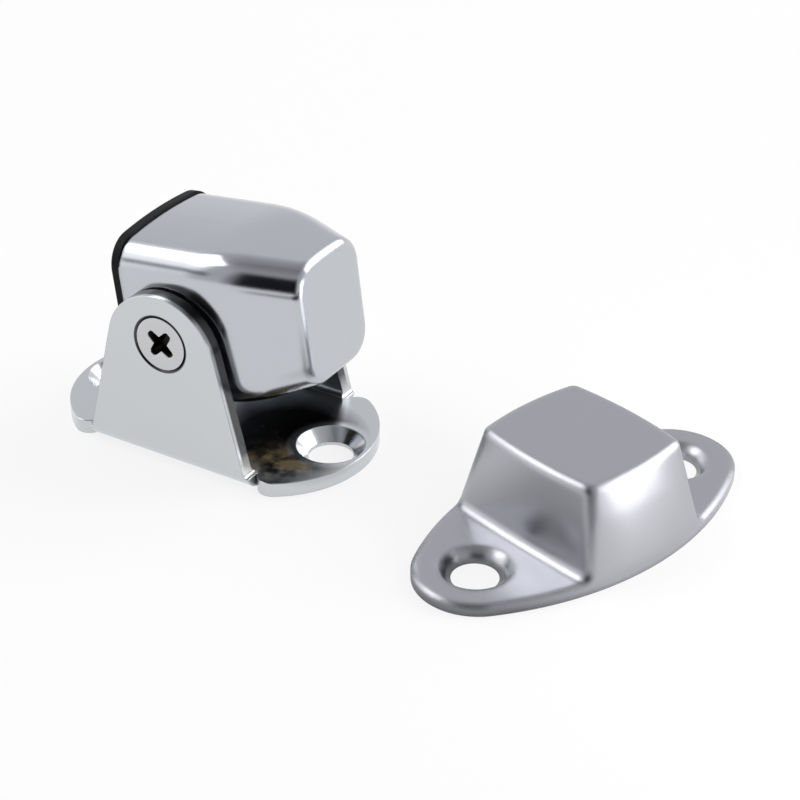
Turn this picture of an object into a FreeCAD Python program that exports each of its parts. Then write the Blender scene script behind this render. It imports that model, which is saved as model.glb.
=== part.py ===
import FreeCAD, Part
import math
import os

import Sketcher

# Magnetic door catch in two halves that stand apart: a tilting magnet head held
# between the ears of a bent base bracket, and the low strike that the magnet grips.
# Millimetres. Origin: middle of the bracket's underside. +X runs along the bracket
# towards the tab under the head's closed end, +Z is up.

DRIVING = [
    # screws that fasten both halves to the door and the wall
    ("fixing_hole", 6.0),
    ("fixing_countersink", 9.1),
    ("countersink_angle", 90.0),
    # bracket bent from one sheet
    ("sheet_thickness", 2.0),
    ("bend_inner_radius", 1.0),
    ("bend_relief", 0.5),
    ("ear_outer_width", 25.9),
    ("ear_top_radius", 8.2),
    ("ear_top_drop", 1.5),
    ("ear_foot_width", 24.4),
    ("ear_foot_fillet", 0.5),
    ("pivot_height", 18.4),
    ("base_length", 44.4),
    ("base_end_radius", 14.0),
    ("base_corner", 2.0),
    ("base_screw_inset", 5.1),
    # screw that the head turns on
    ("screw_diameter", 4.0),
    ("screw_head_diameter", 7.4),
    ("screw_head_rim", 0.15),
    ("screw_head_gap", 0.3),
    ("screw_end_chamfer", 0.5),
    ("screw_end_inset", 0.3),
    ("screw_clearance", 0.2),
    ("thread_gap", 0.04),
    ("cross_length", 4.6),
    ("cross_arm", 1.0),
    ("cross_depth", 1.7),
    ("cross_turn", 45.0),
    # friction washers between the ears and the head
    ("washer_diameter", 9.0),
    ("washer_thickness", 0.4),
    ("washer_gap", 0.05),
    # head, measured from the pivot along its own axis
    ("head_tilt", 7.0),
    ("mouth_reach", 6.9),
    ("mouth_top", 11.9),
    ("mouth_bottom", 10.2),
    ("crease_reach", 8.2),
    ("crease_top", 12.0),
    ("crease_bottom", 10.1),
    ("roof_crown_radius", 65.0),
    ("head_corner", 4.2),
    ("crease_round", 28.0),
    ("end_reach", 18.3),
    ("end_taper", 3.6),
    ("end_top", 10.1),
    ("end_bottom", 6.8),
    ("end_edge_fillet", 1.2),
    ("housing_wall", 1.2),
    ("housing_screw_hole", 5.0),
    # moulded carrier that fills the mouth and holds the magnet
    ("bezel_thickness", 1.35),
    ("bezel_inset", 0.1),
    ("bezel_rise", 0.3),
    ("bezel_edge", 0.3),
    ("plug_gap", 0.15),
    ("plug_reach", 4.6),
    ("running_gap", 0.06),
    ("carrier_wall", 1.65),
    ("magnet_height", 8.0),
    ("magnet_depth", 3.6),
    ("magnet_recess", 0.6),
    ("magnet_gap", 0.05),
    ("magnet_chamfer", 0.3),
    ("pole_thickness", 1.5),
    ("pole_proud", 0.3),
    # strike, measured in its own frame: length along its line of screws
    ("strike_x", 51.84),
    ("strike_y", 3.41),
    ("strike_turn", 73.2),
    ("strike_length", 51.2),
    ("strike_width", 25.8),
    ("strike_end_radius", 8.1),
    ("strike_thickness", 1.6),
    ("strike_edge", 0.4),
    ("strike_screw_inset", 7.8),
    ("block_height", 13.2),
    ("block_foot_length", 20.8),
    ("block_top_length", 15.8),
    ("block_top_inset", 2.9),
    ("block_end_bulge", 0.9),
    ("block_corner", 1.4),
    ("block_foot_fillet", 1.1),
    ("block_top_fillet", 0.8),
    ("block_wall", 2.0),
    ("block_side_wall", 1.5),
    ("flare_width", 1.7),
    ("flare_height", 7.0),
    ("flare_round", 40.0),
    # how far a cut runs past what it cuts
    ("cut_margin", 1.0),
]

DERIVED = [
    ("fixing_radius", "fixing_hole / 2"),
    ("ear_half", "ear_outer_width / 2"),
    ("ear_inner_half", "ear_half - sheet_thickness"),
    ("bend_outer_radius", "bend_inner_radius + sheet_thickness"),
    ("bend_line", "ear_half - bend_outer_radius"),
    ("ear_centre", "pivot_height - ear_top_drop"),
    ("ear_foot_half", "ear_foot_width / 2"),
    ("channel_height", "ear_centre + ear_top_radius + cut_margin"),
    ("channel_length", "ear_foot_width + 2 * bend_relief"),
    ("channel_half", "channel_length / 2"),
    ("trim_half", "channel_half + cut_margin"),
    ("trim_top", "channel_height + cut_margin"),
    ("base_end_centre", "base_length / 2 - base_end_radius"),
    ("base_screw_place", "base_length / 2 - base_screw_inset"),
    ("screw_radius", "screw_diameter / 2"),
    ("screw_head_radius", "screw_head_diameter / 2"),
    ("screw_hole", "screw_diameter + 2 * screw_clearance"),
    ("screw_hole_radius", "screw_hole / 2"),
    ("screw_countersink", "screw_head_diameter + 2 * screw_head_gap"),
    ("tapped_radius", "screw_radius + thread_gap"),
    ("screw_rim_place", "ear_half - screw_head_rim"),
    ("screw_cone_place",
     "screw_rim_place - (screw_head_radius - screw_radius) / tan(countersink_angle / 2)"),
    ("screw_tip", "ear_half - screw_end_inset"),
    ("screw_tip_shoulder", "screw_tip - screw_end_chamfer"),
    ("screw_tip_radius", "screw_radius - screw_end_chamfer"),
    ("ear_cut", "sheet_thickness + cut_margin"),
    ("cross_half", "cross_length / 2"),
    ("cross_arm_half", "cross_arm / 2"),
    ("washer_radius", "washer_diameter / 2"),
    ("head_half", "ear_inner_half - washer_thickness - washer_gap"),
    ("end_half", "head_half - end_taper"),
    ("roof_axis_depth", "roof_crown_radius - mouth_top"),
    ("housing_tallest", "max(mouth_top; mouth_bottom; crease_top; crease_bottom)"),
    ("blank_trim", "housing_tallest + 2 * cut_margin"),
    ("blank_height", "2 * (housing_tallest + cut_margin)"),
    ("blank_front", "end_reach + cut_margin"),
    ("blank_back", "mouth_reach + cut_margin"),
    ("cavity_half", "head_half - housing_wall"),
    ("cavity_mouth_top", "mouth_top - housing_wall"),
    ("cavity_mouth_bottom", "mouth_bottom - housing_wall"),
    ("cavity_crease_top", "crease_top - housing_wall"),
    ("cavity_crease_bottom", "crease_bottom - housing_wall"),
    ("cavity_corner", "head_corner - housing_wall"),
    ("cavity_end_half", "end_half - housing_wall"),
    ("cavity_end_top", "end_top - housing_wall"),
    ("cavity_end_bottom", "end_bottom - housing_wall"),
    ("cavity_reach", "end_reach - housing_wall"),
    ("housing_hole_radius", "housing_screw_hole / 2"),
    ("bezel_half", "head_half - bezel_inset"),
    ("bezel_top", "mouth_top + bezel_rise"),
    ("bezel_bottom", "mouth_bottom - bezel_inset"),
    ("bezel_corner", "head_corner - bezel_inset"),
    ("plug_half", "cavity_half - plug_gap"),
    ("plug_top", "min(cavity_mouth_top; cavity_crease_top) - plug_gap"),
    ("plug_bottom", "min(cavity_mouth_bottom; cavity_crease_bottom) - plug_gap"),
    ("plug_corner", "cavity_corner"),
    ("plug_length", "mouth_reach + plug_reach"),
    ("bore_radius", "screw_radius + running_gap"),
    ("face_reach", "mouth_reach + bezel_thickness"),
    ("magnet_middle", "(mouth_top - mouth_bottom) / 2"),
    ("magnet_half_width", "plug_half - carrier_wall"),
    ("magnet_upper", "magnet_middle + magnet_height / 2"),
    ("magnet_lower", "magnet_height / 2 - magnet_middle"),
    ("magnet_front", "face_reach - magnet_recess"),
    ("pole_upper", "magnet_upper + pole_thickness"),
    ("pole_lower", "magnet_lower + pole_thickness"),
    ("pole_front", "face_reach + pole_proud"),
    ("pole_depth", "pole_proud + magnet_recess + magnet_depth"),
    ("well_half", "magnet_half_width + magnet_gap"),
    ("well_upper", "pole_upper + magnet_gap"),
    ("well_lower", "pole_lower + magnet_gap"),
    ("well_depth", "magnet_recess + magnet_depth + magnet_gap"),
    ("strike_half_length", "strike_length / 2"),
    ("strike_half_width", "strike_width / 2"),
    ("strike_end_centre", "strike_half_length - strike_end_radius"),
    ("strike_side_radius",
     "(strike_end_centre ^ 2 + strike_half_width ^ 2 - strike_end_radius ^ 2)"
     " / (2 * (strike_half_width - strike_end_radius))"),
    ("strike_side_centre", "strike_side_radius - strike_half_width"),
    ("strike_screw_place", "strike_half_length - strike_screw_inset"),
    ("slab_half", "strike_half_width + cut_margin"),
    ("slab_reach", "strike_half_length + cut_margin"),
    ("frame_half", "slab_half + cut_margin"),
    ("frame_reach", "slab_reach + cut_margin"),
    ("foot_half", "block_foot_length / 2"),
    ("top_half_length", "block_top_length / 2"),
    ("top_half_width", "strike_half_width - block_top_inset"),
    ("top_end_radius", "(top_half_width ^ 2 + block_end_bulge ^ 2) / (2 * block_end_bulge)"),
    ("top_end_back", "top_end_radius - top_half_length - block_end_bulge"),
    ("flare_corner", "strike_half_width - flare_width"),
    ("flare_corner_height", "strike_thickness + flare_height"),
    ("brow_height", "block_height + cut_margin"),
    ("brow_half",
     "top_half_width - cut_margin * (flare_corner - top_half_width)"
     " / (block_height - flare_corner_height)"),
    ("hollow_foot_half", "foot_half - block_wall"),
    ("hollow_foot_width", "flare_corner - block_side_wall"),
    ("hollow_top_width", "top_half_width - block_wall"),
    ("hollow_end_radius", "top_end_radius - block_wall"),
    ("hollow_height", "block_height - block_wall"),
]

MEETING = 1e-4
SMOOTH_ANGLE = math.radians(0.5)
NEAR = 1e-3
QUARTER = math.pi / 2
UP = FreeCAD.Vector(0, 0, 1)

os.makedirs("parts", exist_ok=True)
doc = FreeCAD.newDocument("magnetic_catch")
sizes = doc.addObject("Spreadsheet::Sheet", "Sizes")
for row, (alias, number) in enumerate(DRIVING, start=1):
    sizes.set("A%d" % row, alias)
    sizes.set("B%d" % row, repr(number))
    sizes.setAlias("B%d" % row, alias)
for row, (alias, formula) in enumerate(DERIVED, start=1):
    sizes.set("D%d" % row, alias)
    sizes.set("E%d" % row, "=" + formula)
    sizes.setAlias("E%d" % row, alias)
doc.recompute()


def value(alias):
    return float(sizes.get(alias))


def signed_value(signed):
    """Number for an alias with an optional minus sign, or for 0."""
    if signed == "0":
        return 0.0
    return -value(signed[1:]) if signed.startswith("-") else value(signed)


def vector(x, y):
    return FreeCAD.Vector(x, y, 0.0)


def new_body(label, place=None, turn_axis=None, turn=None):
    """An empty body named for its piece, placed and turned by the sheet."""
    body = doc.addObject("PartDesign::Body", label)
    body.Label = label
    if turn is not None:
        body.Placement = FreeCAD.Placement(FreeCAD.Vector(), FreeCAD.Rotation(turn_axis, 1.0))
        body.setExpression("Placement.Rotation.Angle", "Sizes." + turn)
    for axis, alias in (place or {}).items():
        body.setExpression("Placement.Base." + axis, "Sizes." + alias)
    return body


def head_body(label):
    """A body drawn in the head's own frame: pivot at the origin, closed end along +X."""
    return new_body(label, {"z": "pivot_height"}, FreeCAD.Vector(0, -1, 0), "head_tilt")


def new_sketch(body, name, role, offset=None):
    """A sketch on one of the body's own origin planes, moved along its normal."""
    plane = [item for item in body.Origin.OriginFeatures if item.Role == role][0]
    sketch = body.newObject("Sketcher::SketchObject", name)
    sketch.AttachmentSupport = (plane, [""])
    sketch.MapMode = "FlatFace"
    if offset is not None:
        sign = "-" if offset.startswith("-") else ""
        sketch.setExpression("AttachmentOffset.Base.z", sign + "Sizes." + offset.lstrip("-"))
    doc.recompute()
    return sketch


def line(start, end):
    return Part.LineSegment(vector(*start), vector(*end))


def circle_arc(centre, radius, start, end):
    """Arc that runs anticlockwise between two angles in radians."""
    return Part.ArcOfCircle(Part.Circle(vector(*centre), UP, radius), start, end)


def way(sketch, index, end):
    """Direction of a sketched curve at its first or last end."""
    curve = sketch.Geometry[index]
    parameter = curve.FirstParameter if end == 1 else curve.LastParameter
    return curve.tangent(parameter)[0]


def smooth(sketch, one, one_end, other, other_end):
    curves = (sketch.Geometry[one], sketch.Geometry[other])
    if all(isinstance(curve, Part.LineSegment) for curve in curves):
        return False
    angle = way(sketch, one, one_end).getAngle(way(sketch, other, other_end))
    return min(angle, math.pi - angle) < SMOOTH_ANGLE


def draw(sketch, geometry):
    """Add curves and join the ends that meet, as tangents where their ways agree."""
    indices = [sketch.addGeometry(item, False) for item in geometry]
    ends = [(index, end) for index in indices for end in (1, 2)]
    for number, (one, one_end) in enumerate(ends):
        for other, other_end in ends[number + 1:]:
            gap = sketch.getPoint(one, one_end) - sketch.getPoint(other, other_end)
            if one == other or gap.Length > MEETING:
                continue
            kind = "Tangent" if smooth(sketch, one, one_end, other, other_end) else "Coincident"
            sketch.addConstraint(Sketcher.Constraint(kind, one, one_end, other, other_end))


def straighten(sketch, kind, *indices):
    """Keep lines horizontal or vertical."""
    for index in indices:
        sketch.addConstraint(Sketcher.Constraint(kind, index))


def drive(sketch, kind, places, alias):
    """Add one dimension to a sketch and bind it to the sheet."""
    index = sketch.addConstraint(Sketcher.Constraint(kind, *places, value(alias)))
    sketch.setExpression("Constraints[%d]" % index, "Sizes." + alias)


def pin(sketch, index, end, across=None, up=None):
    """Place a point by its signed distances from the sketch's origin, either of them or both."""
    for kind, axis, signed in (("DistanceX", -2, across), ("DistanceY", -1, up)):
        if signed == "0":
            sketch.addConstraint(Sketcher.Constraint("PointOnObject", index, end, axis))
        elif signed is not None and signed.startswith("-"):
            drive(sketch, kind, (index, end, -1, 1), signed[1:])
        elif signed is not None:
            drive(sketch, kind, (-1, 1, index, end), signed)


def polygon(sketch, corners):
    """Closed outline of straight lines through corners, each a pair of signed aliases."""
    points = [(signed_value(across), signed_value(up)) for across, up in corners]
    draw(sketch, [line(points[number - 1], point) for number, point in enumerate(points)])
    for number, (across, up) in enumerate(corners):
        pin(sketch, number, 2, across, up)


def rectangle(sketch, half, high, low):
    """Rectangle symmetric about the vertical axis, between two signed heights."""
    polygon(sketch, [("-" + half, low), (half, low), (half, high), ("-" + half, high)])


def head_section(sketch, half, high, low, corner):
    """Round-cornered section across the head, symmetric, its top crowned about the roof's axis."""
    wide, above, below, radius = (value(alias) for alias in (half, high, low, corner))
    axis = -value("roof_axis_depth")
    crown = above - axis
    rise = math.sqrt((crown - radius) ** 2 - (wide - radius) ** 2)
    shoulder = math.atan2(rise, wide - radius)
    draw(sketch, [
        line((radius - wide, -below), (wide - radius, -below)),
        circle_arc((wide - radius, radius - below), radius, 3 * QUARTER, 4 * QUARTER),
        line((wide, radius - below), (wide, axis + rise)),
        circle_arc((wide - radius, axis + rise), radius, 0, shoulder),
        circle_arc((0, axis), crown, shoulder, 2 * QUARTER - shoulder),
        circle_arc((radius - wide, axis + rise), radius, 2 * QUARTER - shoulder, 2 * QUARTER),
        line((-wide, axis + rise), (-wide, radius - below)),
        circle_arc((radius - wide, radius - below), radius, 2 * QUARTER, 3 * QUARTER),
    ])
    for index in (3, 5, 7):
        sketch.addConstraint(Sketcher.Constraint("Equal", 1, index))
    straighten(sketch, "Horizontal", 0)
    straighten(sketch, "Vertical", 2, 6)
    drive(sketch, "Radius", (1,), corner)
    pin(sketch, 2, 1, across=half)
    pin(sketch, 6, 1, across="-" + half)
    pin(sketch, 0, 1, up="-" + low)
    pin(sketch, 4, 3, "0", "-roof_axis_depth")
    summit = sketch.addGeometry(Part.Point(vector(0, above)), True)
    sketch.addConstraint(Sketcher.Constraint("PointOnObject", summit, 1, 4))
    pin(sketch, summit, 1, "0", high)


def rounded_bend(start, corner, end, radius):
    """Line, arc and line from start to end, round a corner that both lines point at."""
    first = math.atan2(corner[1] - start[1], corner[0] - start[0])
    second = math.atan2(end[1] - corner[1], end[0] - corner[0])
    turn = math.remainder(second - first, 2 * math.pi)
    reach = radius * math.tan(abs(turn) / 2)
    enter = (corner[0] - reach * math.cos(first), corner[1] - reach * math.sin(first))
    leave = (corner[0] + reach * math.cos(second), corner[1] + reach * math.sin(second))
    side = math.copysign(QUARTER, turn)
    centre = (enter[0] + radius * math.cos(first + side), enter[1] + radius * math.sin(first + side))
    angles = sorted((first - side, first - side + turn))
    return [line(start, enter), circle_arc(centre, radius, *angles), line(leave, end)]


def pin_bend(sketch, index, across, up, radius):
    """Place the corner that a rounded bend, whose first line is index, goes round."""
    place = vector(signed_value(across), signed_value(up))
    point = sketch.addGeometry(Part.Point(place), True)
    for straight in (index, index + 2):
        sketch.addConstraint(Sketcher.Constraint("PointOnObject", point, 1, straight))
    pin(sketch, point, 1, across, up)
    drive(sketch, "Radius", (index + 1,), radius)


def circle(sketch, radius, across="0", up="0"):
    centre = vector(signed_value(across), signed_value(up))
    index = sketch.addGeometry(Part.Circle(centre, UP, value(radius)), False)
    pin(sketch, index, 3, across, up)
    drive(sketch, "Radius", (index,), radius)


def pad(body, name, sketch, length, midplane=False, backwards=False):
    feature = body.newObject("PartDesign::Pad", name)
    feature.Profile = sketch
    feature.Midplane = midplane
    feature.Reversed = backwards
    feature.setExpression("Length", "Sizes." + length)
    return feature


def pocket(body, name, sketch, depth=None, backwards=False):
    """Cut of a stated depth, or right through both ways when none is given."""
    feature = body.newObject("PartDesign::Pocket", name)
    feature.Profile = sketch
    if depth is None:
        feature.Type = "ThroughAll"
        feature.Midplane = True
    else:
        feature.Reversed = backwards
        feature.setExpression("Length", "Sizes." + depth)
    return feature


def groove(body, name, sketch):
    """Cut turned all the way round the sketch's first construction line."""
    feature = body.newObject("PartDesign::Groove", name)
    feature.Profile = sketch
    feature.ReferenceAxis = (sketch, ["Axis0"])
    feature.Angle = 360.0
    return feature


def loft(body, kind, name, sketches):
    """Straight-ruled loft through the sketches, added or cut."""
    feature = body.newObject("PartDesign::" + kind, name)
    feature.Profile = sketches[0]
    feature.Sections = sketches[1:]
    feature.Ruled = True
    return feature


def dress(body, kind, name, base, wanted, alias):
    """Fillet or chamfer of every edge of base that wanted picks."""
    doc.recompute()
    edges = enumerate(base.Shape.Edges, start=1)
    picked = ["Edge%d" % number for number, edge in edges if wanted(edge)]
    feature = body.newObject("PartDesign::" + kind, name)
    feature.Base = (base, picked)
    feature.setExpression("Radius" if kind == "Fillet" else "Size", "Sizes." + alias)
    return feature


def countersunk(body, name, sketch, diameter, wide_diameter, depth=None):
    """Countersunk hole at each circle of the sketch, right through or to a depth."""
    doc.recompute()
    hole = body.newObject("PartDesign::Hole", name)
    hole.Profile = sketch
    hole.DepthType = "ThroughAll" if depth is None else "Dimension"
    if depth is not None:
        hole.setExpression("Depth", "Sizes." + depth)
        hole.DrillPoint = "Flat"
    hole.HoleCutType = "Countersink"
    hole.HoleCutCustomValues = True
    hole.setExpression("Diameter", "Sizes." + diameter)
    hole.setExpression("HoleCutDiameter", "Sizes." + wide_diameter)
    hole.setExpression("HoleCutCountersinkAngle", "Sizes.countersink_angle")
    return hole


def spans(edge, axis):
    """Lowest and highest place of an edge along one axis of its body."""
    box = edge.BoundBox
    return {"x": (box.XMin, box.XMax), "y": (box.YMin, box.YMax), "z": (box.ZMin, box.ZMax)}[axis]


def lies_at(edge, axis, place):
    return all(abs(end - place) < NEAR for end in spans(edge, axis))


# Base bracket: a sheet with round ends, both of whose sides are bent up into ears.
# Its section across the ears is a channel with a round bend each side.
bracket = new_body("base_bracket")
ear_half = value("ear_half")
inner_half = value("ear_inner_half")
sheet = value("sheet_thickness")
bend = value("bend_outer_radius")
bend_line = value("bend_line")
channel_top = value("channel_height")
section = new_sketch(bracket, "channel_section", "YZ_Plane")
draw(section, [
    line((-bend_line, 0), (bend_line, 0)),
    circle_arc((bend_line, bend), bend, 3 * QUARTER, 4 * QUARTER),
    line((ear_half, bend), (ear_half, channel_top)),
    line((ear_half, channel_top), (inner_half, channel_top)),
    line((inner_half, channel_top), (inner_half, bend)),
    circle_arc((bend_line, bend), bend - sheet, 3 * QUARTER, 4 * QUARTER),
    line((bend_line, sheet), (-bend_line, sheet)),
    circle_arc((-bend_line, bend), bend - sheet, 2 * QUARTER, 3 * QUARTER),
    line((-inner_half, bend), (-inner_half, channel_top)),
    line((-inner_half, channel_top), (-ear_half, channel_top)),
    line((-ear_half, channel_top), (-ear_half, bend)),
    circle_arc((-bend_line, bend), bend, 2 * QUARTER, 3 * QUARTER),
])
straighten(section, "Horizontal", 0, 3, 6, 9)
straighten(section, "Vertical", 2, 4, 8, 10)
pin(section, 0, 1, up="0")
pin(section, 2, 2, "ear_half", "channel_height")
pin(section, 10, 1, "-ear_half", "channel_height")
pin(section, 4, 1, across="ear_inner_half")
pin(section, 8, 2, across="-ear_inner_half")
pin(section, 6, 1, up="sheet_thickness")
for index, radius in ((1, "bend_outer_radius"), (5, "bend_inner_radius"),
                      (7, "bend_inner_radius"), (11, "bend_outer_radius")):
    drive(section, "Radius", (index,), radius)
pad(bracket, "channel", section, "channel_length", midplane=True)

# The ears' side view: a round top, straight leaning sides and a small fillet at each
# foot. What lies outside it, above the sheet, is cut off the channel.
foot = value("ear_foot_half")
crown = value("ear_top_radius")
crown_centre = value("ear_centre")
blend = value("ear_foot_fillet")
trim_half = value("trim_half")
trim_top = value("trim_top")
rise = crown_centre - sheet
lean = math.pi - math.atan2(rise, foot) - math.asin(crown / math.hypot(rise, foot))
blend_end = foot + blend / math.tan(lean / 2)
crown_touch = (crown * math.cos(lean - QUARTER), crown_centre + crown * math.sin(lean - QUARTER))
blend_touch = (blend_end - blend * math.sin(lean), sheet + blend + blend * math.cos(lean))
outline = new_sketch(bracket, "ear_outline", "XZ_Plane")
draw(outline, [
    circle_arc((blend_end, sheet + blend), blend, lean + QUARTER, 3 * QUARTER),
    line(blend_touch, crown_touch),
    circle_arc((0, crown_centre), crown, lean - QUARTER, 3 * QUARTER - lean),
    line((-crown_touch[0], crown_touch[1]), (-blend_touch[0], blend_touch[1])),
    circle_arc((-blend_end, sheet + blend), blend, 3 * QUARTER, 5 * QUARTER - lean),
    line((-blend_end, sheet), (-trim_half, sheet)),
    line((-trim_half, sheet), (-trim_half, trim_top)),
    line((-trim_half, trim_top), (trim_half, trim_top)),
    line((trim_half, trim_top), (trim_half, sheet)),
    line((trim_half, sheet), (blend_end, sheet)),
])
straighten(outline, "Horizontal", 5, 7, 9)
straighten(outline, "Vertical", 6, 8)
for sign, leaning in (("", 1), ("-", 3)):
    foot_corner = outline.addGeometry(Part.Point(vector(signed_value(sign + "ear_foot_half"), sheet)), True)
    outline.addConstraint(Sketcher.Constraint("PointOnObject", foot_corner, 1, leaning))
    pin(outline, foot_corner, 1, sign + "ear_foot_half", "sheet_thickness")
pin(outline, 2, 3, "0", "ear_centre")
pin(outline, 5, 1, up="sheet_thickness")
pin(outline, 9, 1, up="sheet_thickness")
pin(outline, 7, 1, "-trim_half", "trim_top")
pin(outline, 7, 2, across="trim_half")
drive(outline, "Radius", (2,), "ear_top_radius")
drive(outline, "Radius", (0,), "ear_foot_fillet")
drive(outline, "Radius", (4,), "ear_foot_fillet")
pocket(bracket, "ear_trim", outline)

# The flat sheet: an arc round each end, and a step in to the bend line beside each ear,
# its corner rounded.
end_centre = value("base_end_centre")
end_radius = value("base_end_radius")
step = value("channel_half")
corner = value("base_corner")
corner_x = step + corner
corner_y = math.sqrt((end_radius - corner) ** 2 - (corner_x - end_centre) ** 2)
spread = math.atan2(corner_y, corner_x - end_centre)
plan = new_sketch(bracket, "sheet_outline", "XY_Plane")
draw(plan, [
    circle_arc((end_centre, 0), end_radius, -spread, spread),
    circle_arc((corner_x, corner_y), corner, spread, 2 * QUARTER),
    line((step, corner_y), (step, bend_line)),
    line((step, bend_line), (-step, bend_line)),
    line((-step, bend_line), (-step, corner_y)),
    circle_arc((-corner_x, corner_y), corner, 0, 2 * QUARTER - spread),
    circle_arc((-end_centre, 0), end_radius, 2 * QUARTER - spread, 2 * QUARTER + spread),
    circle_arc((-corner_x, -corner_y), corner, 2 * QUARTER + spread, 4 * QUARTER),
    line((-step, -corner_y), (-step, -bend_line)),
    line((-step, -bend_line), (step, -bend_line)),
    line((step, -bend_line), (step, -corner_y)),
    circle_arc((corner_x, -corner_y), corner, 2 * QUARTER, 4 * QUARTER - spread),
])
for index, end, sign_x, sign_y in (
    (2, 2, "", ""), (4, 1, "-", ""), (8, 2, "-", "-"), (10, 1, "", "-"),
):
    pin(plan, index, end, sign_x + "channel_half", sign_y + "bend_line")
straighten(plan, "Vertical", 2, 4, 8, 10)
pin(plan, 0, 3, "base_end_centre", "0")
pin(plan, 6, 3, "-base_end_centre", "0")
for index, radius in ((0, "base_end_radius"), (6, "base_end_radius"), (1, "base_corner"),
                      (5, "base_corner"), (7, "base_corner"), (11, "base_corner")):
    drive(plan, "Radius", (index,), radius)
pad(bracket, "sheet", plan, "sheet_thickness")

# Holes of the bracket: two countersunk ones for its fixing screws, a countersunk one
# for the pivot screw's head in the near ear and a tapped one for its end in the far ear.
fixings = new_sketch(bracket, "base_fixings", "XY_Plane", "sheet_thickness")
circle(fixings, "fixing_radius", "base_screw_place")
circle(fixings, "fixing_radius", "-base_screw_place")
countersunk(bracket, "base_holes", fixings, "fixing_hole", "fixing_countersink")
near_place = new_sketch(bracket, "near_ear_hole_place", "XZ_Plane", "ear_half")
circle(near_place, "screw_hole_radius", up="pivot_height")
countersunk(bracket, "near_ear_hole", near_place, "screw_hole", "screw_countersink", "ear_cut")
far_place = new_sketch(bracket, "far_ear_hole_place", "XZ_Plane", "-ear_half")
circle(far_place, "tapped_radius", up="pivot_height")
pocket(bracket, "far_ear_hole", far_place, "ear_cut", backwards=True)

# Pivot screw: a countersunk head in the near ear and a plain shank, as wide as its
# thread, that reaches into the far ear's tapped hole. Its cross recess is two slots.
screw = new_body("pivot_screw", {"z": "pivot_height"})
screw_section = new_sketch(screw, "screw_section", "XY_Plane")
polygon(screw_section, [
    ("0", "-ear_half"),
    ("screw_head_radius", "-ear_half"),
    ("screw_head_radius", "-screw_rim_place"),
    ("screw_radius", "-screw_cone_place"),
    ("screw_radius", "screw_tip_shoulder"),
    ("screw_tip_radius", "screw_tip"),
    ("0", "screw_tip"),
])
turned = screw.newObject("PartDesign::Revolution", "screw_turned")
turned.Profile = screw_section
turned.ReferenceAxis = (screw_section, ["V_Axis"])
turned.Angle = 360.0
doc.recompute()
for name, extra in (("falling", ""), ("rising", "90 + ")):
    slot = new_sketch(screw, name + "_arm", "XZ_Plane", "ear_half")
    slot.AttachmentOffset = FreeCAD.Placement(FreeCAD.Vector(), FreeCAD.Rotation(UP, 1.0))
    slot.setExpression("AttachmentOffset.Rotation.Angle", extra + "Sizes.cross_turn")
    rectangle(slot, "cross_half", "cross_arm_half", "-cross_arm_half")
    pocket(screw, name + "_slot", slot, "cross_depth")

# Friction washers, one against the inside of each ear.
for name, face in (("washer_near", "ear_inner_half"), ("washer_far", "-ear_inner_half")):
    washer = new_body(name, {"z": "pivot_height"})
    ring = new_sketch(washer, name + "_ring", "XZ_Plane", face)
    circle(ring, "washer_radius")
    circle(ring, "screw_hole_radius")
    pad(washer, name + "_disc", ring, "washer_thickness", backwards=name == "washer_near")

# Magnet housing: a polished shell, open at the mouth. It runs straight from the mouth to
# a soft crease and then narrows to its closed end, in plan and in side view.
housing = head_body("magnet_housing")
crease_round = value("crease_round")
mouth_x = -value("mouth_reach")
crease_x = value("crease_reach")
end_x = value("end_reach")
wide = value("head_half")
narrow = value("end_half")
housing_plan = new_sketch(housing, "housing_plan", "XY_Plane")
draw(housing_plan, [
    line((mouth_x, wide), (mouth_x, -wide)),
    *rounded_bend((mouth_x, -wide), (crease_x, -wide), (end_x, -narrow), crease_round),
    line((end_x, -narrow), (end_x, narrow)),
    *rounded_bend((end_x, narrow), (crease_x, wide), (mouth_x, wide), crease_round),
])
pin(housing_plan, 0, 1, "-mouth_reach", "head_half")
pin(housing_plan, 0, 2, "-mouth_reach", "-head_half")
pin(housing_plan, 4, 1, "end_reach", "-end_half")
pin(housing_plan, 4, 2, "end_reach", "end_half")
pin_bend(housing_plan, 1, "crease_reach", "-head_half", "crease_round")
pin_bend(housing_plan, 5, "crease_reach", "head_half", "crease_round")
blank = pad(housing, "housing_blank", housing_plan, "blank_height", midplane=True)
for name, sign, mouth_alias, crease_alias, end_alias in (
    ("roof", "", "mouth_top", "crease_top", "end_top"),
    ("floor", "-", "mouth_bottom", "crease_bottom", "end_bottom"),
):
    aliases = (mouth_alias, crease_alias, end_alias)
    mouth_z, crease_z, end_z = (signed_value(sign + alias) for alias in aliases)
    outside = signed_value(sign + "blank_trim")
    waste = new_sketch(housing, name + "_waste", "XZ_Plane")
    draw(waste, [
        *rounded_bend((mouth_x, mouth_z), (crease_x, crease_z), (end_x, end_z), crease_round),
        line((end_x, end_z), (value("blank_front"), outside)),
        line((value("blank_front"), outside), (-value("blank_back"), outside)),
        line((-value("blank_back"), outside), (mouth_x, mouth_z)),
    ])
    pin(waste, 3, 1, "end_reach", sign + end_alias)
    pin(waste, 4, 1, "blank_front", sign + "blank_trim")
    pin(waste, 5, 1, "-blank_back", sign + "blank_trim")
    pin(waste, 5, 2, "-mouth_reach", sign + mouth_alias)
    pin_bend(waste, 0, "crease_reach", sign + crease_alias, "crease_round")
    if name == "roof":
        axis_height = signed_value("-roof_axis_depth")
        axis = waste.addGeometry(line((mouth_x, axis_height), (end_x, axis_height)), True)
        pin(waste, axis, 1, "-mouth_reach", "-roof_axis_depth")
        pin(waste, axis, 2, "end_reach", "-roof_axis_depth")
        groove(housing, "roof_cut", waste)
    else:
        shaped = pocket(housing, "floor_cut", waste)


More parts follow.
